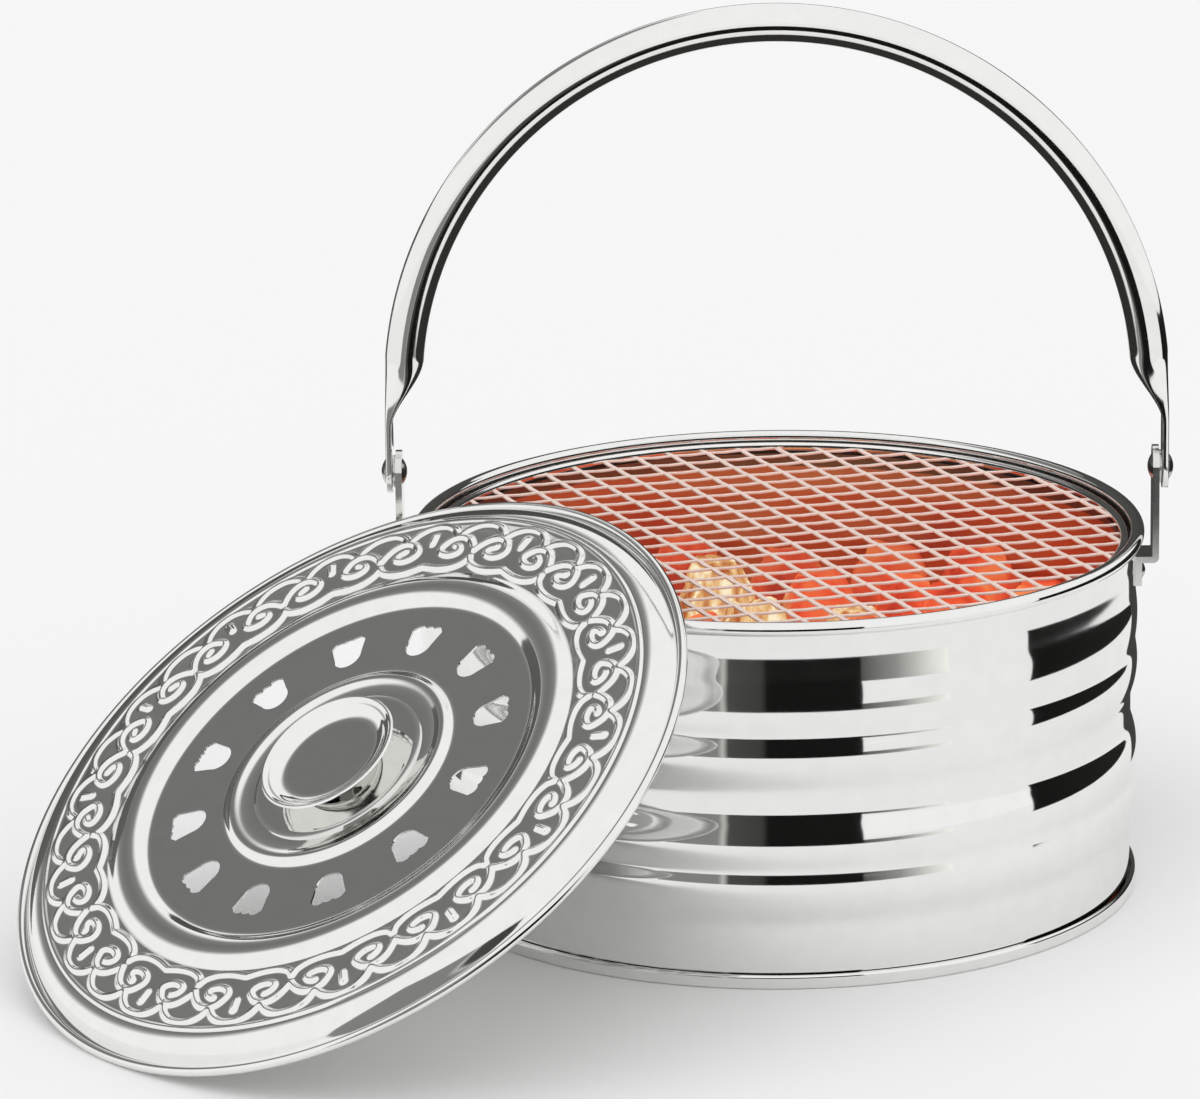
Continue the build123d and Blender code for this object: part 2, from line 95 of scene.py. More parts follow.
def arc(start, middle, end, count=24):
    """Points on the circle through three points, from the start up to and with the end."""
    ax, ay = start
    bx, by = middle
    cx, cy = end
    d = 2 * (ax * (by - cy) + bx * (cy - ay) + cx * (ay - by))
    ux = ((ax * ax + ay * ay) * (by - cy) + (bx * bx + by * by) * (cy - ay)
          + (cx * cx + cy * cy) * (ay - by)) / d
    uy = ((ax * ax + ay * ay) * (cx - bx) + (bx * bx + by * by) * (ax - cx)
          + (cx * cx + cy * cy) * (bx - ax)) / d
    radius = math.hypot(ax - ux, ay - uy)
    first = math.atan2(ay - uy, ax - ux)
    half = math.remainder(math.atan2(by - uy, bx - ux) - first, 2 * math.pi)
    rest = math.remainder(math.atan2(cy - uy, cx - ux) - first - half, 2 * math.pi)
    return [(ux + radius * math.cos(first + (half + rest) * k / count),
             uy + radius * math.sin(first + (half + rest) * k / count)) for k in range(count + 1)]


def evened(line, pitch):
    """The same line with its points at an even pitch."""
    points = np.array(line, float)
    runs = np.hypot(*np.diff(points, axis=0).T)
    along = np.concatenate(([0], np.cumsum(runs)))
    count = max(2, int(round(along[-1] / pitch)))
    places = np.linspace(0, along[-1], count + 1)
    return np.column_stack([np.interp(places, along, points[:, k]) for k in (0, 1)])


def eased(line, pitch, passes):
    """The line with its bends rounded as a press rounds sheet, its ends kept."""
    points = evened(line, pitch)
    for _ in range(passes):
        points[1:-1] = points[1:-1] / 2 + (points[:-2] + points[2:]) / 4
    return points


def offset(line, distance):
    """The line moved sideways to its left."""
    ahead = np.gradient(line, axis=0)
    ahead /= np.hypot(ahead[:, 0], ahead[:, 1])[:, None]
    return line + distance * np.column_stack((-ahead[:, 1], ahead[:, 0]))


def sheet_section(line, thickness):
    """A closed section of sheet whose outer face is the line."""
    return np.vstack((line, offset(line, thickness)[::-1]))


def wire_section(radius, height, wire, count=24):
    angles = [2 * math.pi * k / count for k in range(count)]
    return [(radius + wire * math.cos(a), height + wire * math.sin(a)) for a in angles]


# Making pieces

def take(piece):
    """Selects one piece alone and makes it active."""
    bpy.ops.object.select_all(action="DESELECT")
    piece.select_set(True)
    bpy.context.view_layer.objects.active = piece


def spin_piece(name, section, steps):
    """Lays a ring of points on a section and spins it round the Z axis into a closed solid."""
    bpy.ops.object.select_all(action="DESELECT")
    bpy.ops.mesh.primitive_circle_add(vertices=len(section), fill_type="NOTHING", location=(0, 0, 0))
    piece = bpy.context.object
    piece.name = name
    for vertex, (radius, height) in zip(piece.data.vertices, section):
        vertex.co = (radius * MM, 0, height * MM)
    bpy.ops.object.mode_set(mode="EDIT")
    bpy.ops.mesh.select_all(action="SELECT")
    bpy.ops.mesh.spin(steps=steps, angle=2 * math.pi, center=(0, 0, 0), axis=(0, 0, 1))
    bpy.ops.mesh.select_all(action="SELECT")
    bpy.ops.mesh.remove_doubles(threshold=0.000002)
    bpy.ops.mesh.normals_make_consistent(inside=False)
    bpy.ops.object.mode_set(mode="OBJECT")
    return piece


def smooth(piece, degrees=40):
    take(piece)
    bpy.ops.object.shade_smooth_by_angle(angle=math.radians(degrees))


def apply_modifier(piece, kind, name, **settings):
    take(piece)
    modifier = piece.modifiers.new(name, kind)
    for key, value in settings.items():
        setattr(modifier, key, value)
    bpy.ops.object.modifier_apply(modifier=modifier.name)


def copy_of_node(node, name):
    """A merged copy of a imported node's mesh, to be worked further."""
    piece = bpy.data.objects.new(name, frame["nodes"][node].data.copy())
    bpy.context.scene.collection.objects.link(piece)
    take(piece)
    bpy.ops.object.mode_set(mode="EDIT")
    bpy.ops.mesh.select_all(action="SELECT")
    bpy.ops.mesh.remove_doubles(threshold=0.00001)
    bpy.ops.object.mode_set(mode="OBJECT")
    return piece


def finish_piece(piece, material, body, replaced=()):
    """Gives a piece its finish and its body, and hides the nodes that it stands for."""
    piece.data.materials.clear()
    piece.data.materials.append(material)
    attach(piece, body)
    if replaced:
        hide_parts(*replaced)


# Materials

def linear(code):
    """An sRGB hex colour as linear RGBA."""
    parts = [int(code[k:k + 2], 16) / 255 for k in (1, 3, 5)]
    return tuple(p / 12.92 if p <= 0.04045 else ((p + 0.055) / 1.055) ** 2.4 for p in parts) + (1,)


def add(tree, kind, inputs=None, **settings):
    """Adds one node, sets its settings, and sets or links its inputs."""
    node = tree.nodes.new(kind)
    for key, value in settings.items():
        setattr(node, key, value)
    for key, value in (inputs or {}).items():
        if isinstance(value, bpy.types.NodeSocket):
            tree.links.new(value, node.inputs[key])
        else:
            node.inputs[key].default_value = value
    return node


def new_material(name):
    material = bpy.data.materials.new(name)
    material.use_nodes = True
    tree = material.node_tree
    shader = next(n for n in tree.nodes if n.type == "BSDF_PRINCIPLED")
    place = add(tree, "ShaderNodeTexCoord").outputs["Object"]
    return material, tree, shader, place


def ramp(tree, factor, stops):
    """A colour ramp over a factor; stops are (place, colour)."""
    node = add(tree, "ShaderNodeValToRGB", {"Fac": factor})
    while len(node.color_ramp.elements) < len(stops):
        node.color_ramp.elements.new(0.5)
    for element, (place, colour) in zip(node.color_ramp.elements, stops):
        element.position = place
        element.color = colour
    return node.outputs["Color"]


def polished_steel(name, colour, roughness, ripple_mm, ripple_depth):
    """Buffed stainless sheet: a mirror whose reflections waver where the sheet was pressed."""
    material, tree, shader, place = new_material(name)
    shader.inputs["Metallic"].default_value = 1
    haze = add(tree, "ShaderNodeTexNoise", {"Vector": place, "Scale": 1 / (9 * MM), "Detail": 3})
    grey = linear(colour)
    shade = ramp(tree, haze.outputs["Fac"], [(0.3, tuple(0.96 * c for c in grey[:3]) + (1,)), (0.75, grey)])
    tree.links.new(shade, shader.inputs["Base Color"])
    rough = add(tree, "ShaderNodeMapRange", {
        "Value": haze.outputs["Fac"], "To Min": roughness * 0.85, "To Max": roughness * 1.2})
    tree.links.new(rough.outputs["Result"], shader.inputs["Roughness"])
    ripple = add(tree, "ShaderNodeTexNoise", {
        "Vector": place, "Scale": 1 / (ripple_mm * MM), "Detail": 1.5})
    bump = add(tree, "ShaderNodeBump", {
        "Height": ripple.outputs["Fac"], "Distance": ripple_depth * MM, "Strength": 1})
    tree.links.new(bump.outputs["Normal"], shader.inputs["Normal"])
    return material


def ash_patch(tree, place):
    """How much ash lies on a lump, from where the ashy lumps stand, and the fawn colour of the ash."""
    flat = add(tree, "ShaderNodeVectorMath", {0: place, 1: (1, 1, 0)}, operation="MULTIPLY").outputs["Vector"]
    nearest = None
    for centre, radius in ASH_PATCHES:
        gap = add(tree, "ShaderNodeVectorMath", {0: flat, 1: [c * MM for c in centre]}, operation="DISTANCE")
        gap = add(tree, "ShaderNodeMath", {0: gap.outputs["Value"], 1: radius * MM}, operation="SUBTRACT")
        gap = gap.outputs["Value"]
        nearest = gap if nearest is None else add(
            tree, "ShaderNodeMath", {0: nearest, 1: gap}, operation="MINIMUM").outputs["Value"]
    cover = add(tree, "ShaderNodeMapRange", {
        "Value": nearest, "From Min": -4 * MM, "From Max": 4 * MM, "To Min": 1, "To Max": 0})
    stretched = add(tree, "ShaderNodeVectorMath", {0: place, 1: (1, 1, 0.22)},
                    operation="MULTIPLY").outputs["Vector"]
    grain = add(tree, "ShaderNodeTexNoise", {"Vector": stretched, "Scale": 1 / (6 * MM), "Detail": 8})
    # The ash's fawn colour; glowing_charcoal uses it as a glow colour, which is painted light on the ash.
    skin = ramp(tree, grain.outputs["Fac"], [
        (0.36, linear("#B05A2E")), (0.47, linear("#D69A5E")), (0.56, linear("#EFC48A")),
        (0.66, linear("#FFF0CC"))])
    return cover.outputs["Result"], skin


def glowing_charcoal(name, hot, warm, dark, strength, ashy=False):
    """Charcoal alight: lumps that glow smoothly, dimmer in the cracks and towards the back. Where ashy is
    set, the ash patches glow too: painted light on the ash.
    """
    material, tree, shader, place = new_material(name)
    shader.inputs["Roughness"].default_value = 0.9
    shader.inputs["Base Color"].default_value = linear("#2A1512")
    grain = add(tree, "ShaderNodeTexNoise", {
        "Vector": place, "Scale": 1 / (30 * MM), "Detail": 5, "Roughness": 0.5})
    colour = ramp(tree, grain.outputs["Fac"],
                  [(0.34, linear(dark)), (0.46, linear(warm)), (0.66, linear(hot))])
    back = add(tree, "ShaderNodeMapRange", {
        "Value": add(tree, "ShaderNodeSeparateXYZ", {"Vector": place}).outputs["Y"],
        "From Min": 60 * MM, "From Max": 150 * MM, "To Min": 0, "To Max": 0.6})
    colour = add(tree, "ShaderNodeMix", {
        "Factor": back.outputs["Result"], 6: colour, 7: linear("#8E3A2C")}, data_type="RGBA").outputs[2]
    # Painted light: the ash patches are mixed into the glow colour, so the ash glows though ash is no lamp.
    if ashy:
        cover, skin = ash_patch(tree, place)
        colour = add(tree, "ShaderNodeMix", {"Factor": cover, 6: colour, 7: skin},
                     data_type="RGBA").outputs[2]
    tree.links.new(colour, shader.inputs["Emission Color"])
    shader.inputs["Emission Strength"].default_value = strength
    return material


def ashy_charcoal():
    """Burnt-out lumps under a fawn skin of ash, with a crazed surface. The ash skin glows faintly all over:
    painted light, as burnt-out ash is no lamp.
    """
    material, tree, shader, place = new_material("fawn ash on charcoal with painted glow")
    cells = add(tree, "ShaderNodeTexVoronoi", {"Vector": place, "Scale": 1 / (4 * MM)},
                feature="DISTANCE_TO_EDGE")
    grain = add(tree, "ShaderNodeTexNoise", {"Vector": place, "Scale": 1 / (7 * MM), "Detail": 8})
    skin = ramp(tree, grain.outputs["Fac"],
                [(0.35, linear("#A8602C")), (0.5, linear("#CF9A5C")), (0.65, linear("#F0D8A8"))])
    tree.links.new(skin, shader.inputs["Base Color"])
    # Painted glow: the ash's own colour is also given as a faint glow over the whole skin.
    tree.links.new(skin, shader.inputs["Emission Color"])
    shader.inputs["Emission Strength"].default_value = 0.45
    shader.inputs["Roughness"].default_value = 1
    bump = add(tree, "ShaderNodeBump", {
        "Height": cells.outputs["Distance"], "Distance": 1.5 * MM, "Strength": 0.8})
    tree.links.new(bump.outputs["Normal"], shader.inputs["Normal"])
    return material


def plain_material(name, colour, metallic, roughness, grain_mm):
    """A dull finish with a fine grain in its roughness."""
    material, tree, shader, place = new_material(name)
    shader.inputs["Base Color"].default_value = linear(colour)
    shader.inputs["Metallic"].default_value = metallic
    grain = add(tree, "ShaderNodeTexNoise", {"Vector": place, "Scale": 1 / (grain_mm * MM), "Detail": 5})
    rough = add(tree, "ShaderNodeMapRange", {
        "Value": grain.outputs["Fac"], "To Min": roughness * 0.8, "To Max": min(1, roughness * 1.2)})
    tree.links.new(rough.outputs["Result"], shader.inputs["Roughness"])
    bump = add(tree, "ShaderNodeBump", {
        "Height": grain.outputs["Fac"], "Distance": 0.1 * MM, "Strength": 0.4})
    tree.links.new(bump.outputs["Normal"], shader.inputs["Normal"])
    return material


class FirePotSizes(bpy.types.PropertyGroup):
    """Sizes in millimetres, and colours, that a user may change."""
    spin_steps: bpy.props.IntProperty(
        name="Spin steps", description="Faces round each turned piece", default=288, min=48)
    sheet: bpy.props.FloatProperty(
        name="Sheet", description="Thickness of the drum's sheet in mm", default=0.8, min=0.3)
    strand: bpy.props.FloatProperty(
        name="Net strand", description="Width of a strand of the net in mm", default=2.0, min=0.5)
    scroll_height: bpy.props.FloatProperty(
        name="Scroll height", description="Height of the lid's raised lines in mm", default=1.45, min=0)
    scroll_width: bpy.props.FloatProperty(
        name="Scroll width", description="Half width of the lid's raised lines in mm", default=1.3, min=0.3)
    steel_colour: bpy.props.StringProperty(
        name="Steel", description="Colour of the polished steel, as sRGB hex", default="#F1F1EF")
    floor_colour: bpy.props.StringProperty(
        name="Floor", description="Colour of the floor, as sRGB hex", default="#F6F6F6")


# The stage

CAMERA_PLACE = (0.0, -3.1765, 1.0518)
CAMERA_YAW, CAMERA_PITCH, CAMERA_ROLL = -1.487, 15.70, -0.812
CAMERA_LENS = 213.0
SENSOR_WIDTH = 36.0
# Upright reflection cards: distance from the drum's axis in metres, azimuths in degrees right of the
# camera's side, lower edge at both ends, upper edge, and greys along the card
CARDS = [
    (0.60, -33, 22.5, 0, 0, 0.25,
     [(0, 0.24), (0.30, 0.24), (0.325, 0.55), (0.35, 0.07), (0.51, 0.05), (0.54, 0.008), (1, 0.008)]),
    (0.60, 22.5, 48, 0, 0, 0.04, [(0, 0.09), (0.4, 0.30), (0.8, 0.80), (1, 1.0)]),
    (0.60, 75.7, 139, 0, 0, 0.25, [(0, 0.008), (1, 0.02)]),
    (0.30, 122, 165, 0, 0, 0.24, [(0, 0.05), (1, 0.07)]),
    (0.80, 139, 215, 0, 0, 0.70, [(0, 0.06), (1, 0.08)]),
    (0.80, 215, 250, 0, 0, 0.45, [(0, 0.08), (1, 0.12)]),
]
# A dark grey disc over the drum's mouth, seen by reflections alone: painted shade in what the steel reflects
# of the drum's inside.
MOUTH_RADIUS, MOUTH_HEIGHT, MOUTH_GREY = 0.150, 0.178, 0.03
# Where the lid's flat field looks: the dome is darker there
DARK_SKY = (-0.57, 0.51, 0.64)


def card_finish(panel, name, stops):
    """A plain glow whose grey changes along the card, seen by reflections alone."""
    material = bpy.data.materials.new(name)
    material.use_nodes = True
    tree = material.node_tree
    tree.nodes.clear()
    along = add(tree, "ShaderNodeSeparateXYZ", {
        "Vector": add(tree, "ShaderNodeTexCoord").outputs["UV"]}).outputs["X"]
    grey = ramp(tree, along, [(place, (value, value, value * 0.96, 1)) for place, value in stops])
    glow = add(tree, "ShaderNodeEmission", {"Color": grey, "Strength": 1.0})
    add(tree, "ShaderNodeOutputMaterial", {"Surface": glow.outputs["Emission"]})
    panel.data.materials.append(material)
    panel.visible_camera = False
    panel.visible_diffuse = False
    panel.visible_shadow = False
    panel.visible_transmission = False


def card(name, distance, start, end, low_start, low_end, high, stops):
    """An upright curved reflection card."""
    bpy.ops.object.select_all(action="DESELECT")
    bpy.ops.mesh.primitive_grid_add(x_subdivisions=24, y_subdivisions=1, size=1, location=(0, 0, 0))
    panel = bpy.context.object
    panel.name = name
    for vertex in panel.data.vertices:
        part = vertex.co.x + 0.5
        low = low_start + (low_end - low_start) * part
        azimuth = math.radians(start + (end - start) * part - 90)
        height = low + (high - low) * (vertex.co.y + 0.5)
        vertex.co = (distance * math.cos(azimuth), distance * math.sin(azimuth), height)
    card_finish(panel, name, stops)


class FIREPOT_OT_stage(bpy.types.Operator):
    """Sets up the pale floor, the soft light, the reflection cards and the camera"""
    bl_idname = "firepot.stage"
    bl_label = "Stage"

    def execute(self, context):
        sizes = context.scene.fire_pot
        bpy.ops.object.select_all(action="DESELECT")
        bpy.ops.mesh.primitive_circle_add(vertices=64, radius=9, fill_type="NGON", location=(0, 0, 0))
        floor = context.object
        floor.name = "studio_floor"
        material, _, shader, _ = new_material("matt white studio floor")
        shader.inputs["Base Color"].default_value = linear(sizes.floor_colour)
        shader.inputs["Roughness"].default_value = 1
        shader.inputs["Specular IOR Level"].default_value = 0
        floor.data.materials.append(material)
        for number, panel in enumerate(CARDS):
            card(f"reflection_card_{number + 1}", *panel)
        # The dark mouth disc: painted shade, seen only in reflections of the drum's inside.
        bpy.ops.object.select_all(action="DESELECT")
        bpy.ops.mesh.primitive_circle_add(vertices=64, radius=MOUTH_RADIUS, fill_type="NGON",
                                          location=(0, 0, MOUTH_HEIGHT))
        context.object.name = "mouth_card"
        card_finish(context.object, "mouth_card", [(0, MOUTH_GREY), (1, MOUTH_GREY)])
        data = bpy.data.lights.new("soft_sun", "SUN")
        data.energy = 0.3
        data.angle = math.radians(70)
        light = bpy.data.objects.new("soft_sun", data)
        context.scene.collection.objects.link(light)
        light.rotation_euler = (Vector((0.3, 0.35, -1))).to_track_quat("-Z", "Y").to_euler()
        light.visible_glossy = False
        world = bpy.data.worlds.new("studio dome")
        context.scene.world = world
        world.use_nodes = True
        tree = world.node_tree
        tree.nodes.clear()
        direction = add(tree, "ShaderNodeTexCoord").outputs["Generated"]
        toward = add(tree, "ShaderNodeVectorMath", {0: direction, 1: DARK_SKY}, operation="DOT_PRODUCT")
        sky = ramp(tree, toward.outputs["Value"], [
            (0.0, (0.98, 0.98, 0.98, 1)), (0.90, (0.98, 0.98, 0.98, 1)),
            (0.955, (0.26, 0.26, 0.26, 1)), (1.0, (0.18, 0.18, 0.18, 1))])
        background = add(tree, "ShaderNodeBackground", {"Color": sky, "Strength": 1.0})
        add(tree, "ShaderNodeOutputWorld", {"Surface": background.outputs["Background"]})
        data = bpy.data.cameras.new("camera")
        data.lens = CAMERA_LENS
        data.sensor_width = SENSOR_WIDTH
        data.sensor_fit = "HORIZONTAL"
        data.clip_end = 100
        eye = bpy.data.objects.new("camera", data)
        context.scene.collection.objects.link(eye)
        yaw, pitch, roll = (math.radians(a) for a in (CAMERA_YAW, CAMERA_PITCH, CAMERA_ROLL))
        ahead = Vector((math.sin(yaw) * math.cos(pitch), math.cos(yaw) * math.cos(pitch), -math.sin(pitch)))
        right = Vector((math.cos(yaw), -math.sin(yaw), 0))
        up = right.cross(ahead)
        right_rolled = right * math.cos(roll) + up * math.sin(roll)
        up_rolled = up * math.cos(roll) - right * math.sin(roll)
        turn = Matrix((right_rolled, up_rolled, -ahead)).transposed()
        eye.matrix_world = Matrix.Translation(CAMERA_PLACE) @ turn.to_4x4()
        context.scene.camera = eye
        context.scene.view_settings.view_transform = "Standard"
        return {"FINISHED"}


# The drum

WAIST, NECK, FLARE_OUT, FLARE_HEIGHT = 164.0, 166.0, 1.4, 10.5
WALL_FOOT = 1.6
FOOT_RADIUS, FOOT_HEIGHT = 167.0, 6.4
BELTS = ((31.0, WAIST, WAIST), (93.0, WAIST, NECK))
BELT_HEIGHT, BELT_CREST, BELT_DIP = 48.0, 3.0, 1.8
RIM_ROLL = 3.25


def drum_line():
    """The wall's outer face from the foot's channel up to the rim's roll."""
    line = [(WAIST, WALL_FOOT)]
    quarter = BELT_HEIGHT / 4
    for bottom, below, above in BELTS:
        crest = WAIST + BELT_CREST
        middle = (WAIST + BELT_DIP, bottom + 2 * quarter)
        line += arc((below, bottom), (crest, bottom + quarter), middle)
        line += arc(middle, (crest, bottom + 3 * quarter), (above, bottom + BELT_HEIGHT))[1:]
    flare_top = WALL_TOP - 1.5 * RIM_ROLL
    line += [(NECK, flare_top - FLARE_HEIGHT), (NECK + FLARE_OUT, flare_top)]
    return line


class FIREPOT_OT_drum(bpy.types.Operator):
    """Turns the polished drum: the beaded wall, the rolled rim and the seamed base"""
    bl_idname = "firepot.drum"
    bl_label = "Drum"

    def execute(self, context):
        sizes = context.scene.fire_pot
        steel = polished_steel("buffed stainless drum sheet", sizes.steel_colour, 0.05, 60, 0.12)
        line = eased(drum_line(), 1.5, 3)
        wall = spin_piece("drum_wall_skin", sheet_section(line, sizes.sheet), sizes.spin_steps)
        smooth(wall)
        finish_piece(wall, steel, "drum", ["drum_wall"])
        # The faces turned towards the axis get a peach-tinted, rougher steel.
        wall.data.materials.append(
            polished_steel("peach-tinted rougher steel inside the drum", "#E0B8A4", 0.38, 20, 0.05))
        for face in wall.data.polygons:
            faces_axis = face.normal.x * face.center.x + face.normal.y * face.center.y < 0
            face.material_index = int(faces_axis)
        roll = wire_section(RIM_RADIUS - RIM_ROLL, WALL_TOP - RIM_ROLL, RIM_ROLL, 28)
        rim = spin_piece("rolled_rim", roll, sizes.spin_steps)
        smooth(rim, 60)
        finish_piece(rim, steel, "drum")
        lip = WAIST + sizes.sheet
        edge = FOOT_RADIUS - sizes.sheet
        foot = [(0, 0)] + arc((FOOT_RADIUS - 1.2, 0), (FOOT_RADIUS - 0.35, 0.35), (FOOT_RADIUS, 1.2), 5)
        foot += arc((FOOT_RADIUS, FOOT_HEIGHT - 1.4), (FOOT_RADIUS - 0.4, FOOT_HEIGHT - 0.4),
                    (FOOT_RADIUS - 1.4, FOOT_HEIGHT), 5)
        foot += [(lip, FOOT_HEIGHT), (lip, FOOT_HEIGHT - sizes.sheet), (edge, FOOT_HEIGHT - sizes.sheet),
                 (edge, sizes.sheet), (0, sizes.sheet)]
        base = spin_piece("base_pan_skin", foot, sizes.spin_steps)
        smooth(base, 30)
        finish_piece(base, steel, "drum", ["drum_base"])
        return {"FINISHED"}


# The net

CELL_ALONG, CELL_ACROSS = Vector((16.6, 4.9, 0)), Vector((-6.7, 13.9, 0))
HOOP_WIRE = 2.3
MARGIN_CELLS = 8
STRAND_SWAY, STRAND_RISE = 0.45, 0.15


class FIREPOT_OT_net(bpy.types.Operator):
    """Makes the expanded net and the bright hoop round it"""
    bl_idname = "firepot.net"
    bl_label = "Net"

    def execute(self, context):
        sizes = context.scene.fire_pot
        bright = polished_steel("bright hoop wire", "#F6F4F2", 0.12, 12, 0.05)
        hoop = spin_piece("net_hoop_ring", wire_section(HOOP_OUTER - HOOP_WIRE, HOOP_Z, HOOP_WIRE, 20),
                          sizes.spin_steps)
        smooth(hoop, 60)
        finish_piece(hoop, bright, "net", ["net_hoop"])
        reach = HOOP_OUTER - HOOP_WIRE
        cells = int(2 * reach / CELL_ACROSS.length) + MARGIN_CELLS
        bpy.ops.object.select_all(action="DESELECT")
        bpy.ops.mesh.primitive_grid_add(x_subdivisions=cells, y_subdivisions=cells, size=cells)
        net = context.object
        net.name = "expanded_net"
        for vertex in net.data.vertices:
            place = CELL_ALONG * vertex.co.x + CELL_ACROSS * vertex.co.y
            vertex.co = place * MM
        bpy.ops.object.mode_set(mode="EDIT")
        bpy.ops.mesh.select_all(action="SELECT")
        bpy.ops.mesh.inset(thickness=sizes.strand / 2 * MM, use_individual=True, use_boundary=True,
                           use_even_offset=True)
        bpy.ops.mesh.delete(type="FACE")
        bpy.ops.mesh.select_all(action="SELECT")
        bpy.ops.mesh.subdivide(number_cuts=1)
        bpy.ops.object.mode_set(mode="OBJECT")
        along, across = CELL_ALONG * MM, CELL_ACROSS * MM
        area = along.x * across.y - along.y * across.x
        for vertex in net.data.vertices:
            u = (vertex.co.x * across.y - vertex.co.y * across.x) / area
            v = (vertex.co.y * along.x - vertex.co.x * along.y) / area
            lift = math.cos(2 * math.pi * u) + math.cos(2 * math.pi * v)
            sway = math.sin(2 * math.pi * u) - math.sin(2 * math.pi * v)
            vertex.co += along.normalized() * sway * STRAND_SWAY * MM
            vertex.co.z = (HOOP_Z + STRAND_RISE * lift) * MM
            radius = math.hypot(vertex.co.x, vertex.co.y)
            if radius > reach * MM:
                vertex.co.x *= reach * MM / radius
                vertex.co.y *= reach * MM / radius
        take(net)
        bpy.ops.object.mode_set(mode="EDIT")
        bpy.ops.mesh.select_all(action="SELECT")
        bpy.ops.mesh.remove_doubles(threshold=0.0002)
        bpy.ops.mesh.dissolve_degenerate(threshold=0.0001)
        bpy.ops.mesh.normals_make_consistent(inside=False)
        bpy.ops.object.mode_set(mode="OBJECT")
        apply_modifier(net, "SOLIDIFY", "strand thickness", thickness=0.9 * MM, offset=0)
        apply_modifier(net, "BEVEL", "worn edges", width=0.25 * MM, segments=1)
        smooth(net, 50)
        salmon = plain_material("net steel in firelight", "#FBE3D8", 0, 0.45, 5)
        finish_piece(net, salmon, "net", ["net_mesh"])
        return {"FINISHED"}


# The charcoal

# Where ash covers the lumps: middle and radius in millimetres
ASH_PATCHES = (((-26, 75, 0), 30), ((-14, 40, 0), 26), ((30, 20, 0), 20))


class FIREPOT_OT_charcoal(bpy.types.Operator):
    """Breaks up the charcoal lumps and lights them; the glow on the unlit and the ashy lumps is painted
    light.
    """
    bl_idname = "firepot.charcoal"
    bl_label = "Charcoal"

    def execute(self, context):
        finishes = {
            "charcoal_glowing": (glowing_charcoal("charcoal glowing orange", "#FF8A50", "#EE5433",
                                                  "#B83420", 0.95, True), "glowing_charcoal"),
            # Painted firelight: the unlit lumps get a dim red-brown glow, though they are not alight.
            "charcoal_dark": (glowing_charcoal("unlit charcoal with painted firelight glow", "#9C3E2A", "#6A261A",
                                               "#30100A", 0.8), "unlit_charcoal"),
            "charcoal_ashy": (ashy_charcoal(), "ashy_charcoal"),
        }
        for node, (material, slot) in finishes.items():
            piece = copy_of_node(node, node + "_bed")
            apply_modifier(piece, "REMESH", "even faces", mode="VOXEL", voxel_size=2.4 * MM)
            for size_mm, depth_mm in ((26, 9), (9, 4)):
                texture = bpy.data.textures.new(f"{node} breaks {size_mm}", "CLOUDS")
                texture.noise_scale = size_mm * MM
                apply_modifier(piece, "DISPLACE", "broken faces", texture=texture,
                               texture_coords="LOCAL", strength=depth_mm * MM, mid_level=0.55)
            smooth(piece, 30)
            finish_piece(piece, material, "drum", [node])
        return {"FINISHED"}


# The bail

BOW_WIDTH, BOW_DEPTH = 18.0, 13.0
STRAP_SHEET, STRAP_WIDTH = 3.0, 20.0
PRESS_START, PRESS_END = 5.6, 22.0
SEAM_WIDTH, SEAM_DEPTH = 2.4, 1.2
STRAP_X, BOW_OUTER = 179.3, 181.2
STRAP_STEPS, PRESS_STEPS, BOW_STEPS, RING_POINTS = 8, 24, 100, 64
STRAP_SQUARENESS, BOW_SQUARENESS, SEAM_BELOW = 8, 2, 3
STRAP_TIP = 0.4


def bail_stations():
    """Stations along the bail: centre x and z, outward x and z, half thickness, half width, squareness."""
    bow_radius = BOW_OUTER - BOW_WIDTH / 2
    rise = BAIL_TOP - BOW_WIDTH / 2 - bow_radius
    stations = []
    for k in range(STRAP_STEPS + 1):
        drop = STRAP_WIDTH / 2 * math.cos(math.pi / 2 * k / STRAP_STEPS)
        half = max(STRAP_TIP, math.sqrt(max(0, (STRAP_WIDTH / 2) ** 2 - drop ** 2)))
        stations.append((STRAP_X, PIVOT_Z - drop, 1, 0, STRAP_SHEET / 2, half, STRAP_SQUARENESS))
    for k in range(1, STRAP_STEPS + 1):
        stations.append((STRAP_X, PIVOT_Z + PRESS_END * k / STRAP_STEPS, 1, 0, STRAP_SHEET / 2,
                         STRAP_WIDTH / 2, STRAP_SQUARENESS))
    first = math.radians(PRESS_START)
    for k in range(1, PRESS_STEPS + 1):
        part = k / PRESS_STEPS
        ease = part * part * (3 - 2 * part)
        end_x = bow_radius * math.cos(first)
        end_z = rise + bow_radius * math.sin(first)
        half = STRAP_SHEET / 2 + (BOW_WIDTH / 2 - STRAP_SHEET / 2) * ease
        face = STRAP_X + STRAP_SHEET / 2
        face = face + (end_x + BOW_WIDTH / 2 - face) * ease
        stations.append((face - half, PIVOT_Z + PRESS_END + (end_z - PIVOT_Z - PRESS_END) * part,
                         math.cos(first * part), math.sin(first * part), half,
                         STRAP_WIDTH / 2 + (BOW_DEPTH / 2 - STRAP_WIDTH / 2) * ease,
                         STRAP_SQUARENESS + (BOW_SQUARENESS - STRAP_SQUARENESS) * ease))
    for k in range(1, BOW_STEPS + 1):
        angle = first + (math.pi / 2 - first) * k / BOW_STEPS
        stations.append((bow_radius * math.cos(angle), rise + bow_radius * math.sin(angle),
                         math.cos(angle), math.sin(angle), BOW_WIDTH / 2, BOW_DEPTH / 2,
                         BOW_SQUARENESS))
    mirrored = [(-x, z, -nx, nz, a, b, n) for x, z, nx, nz, a, b, n in stations[-2::-1]]
    return stations + mirrored



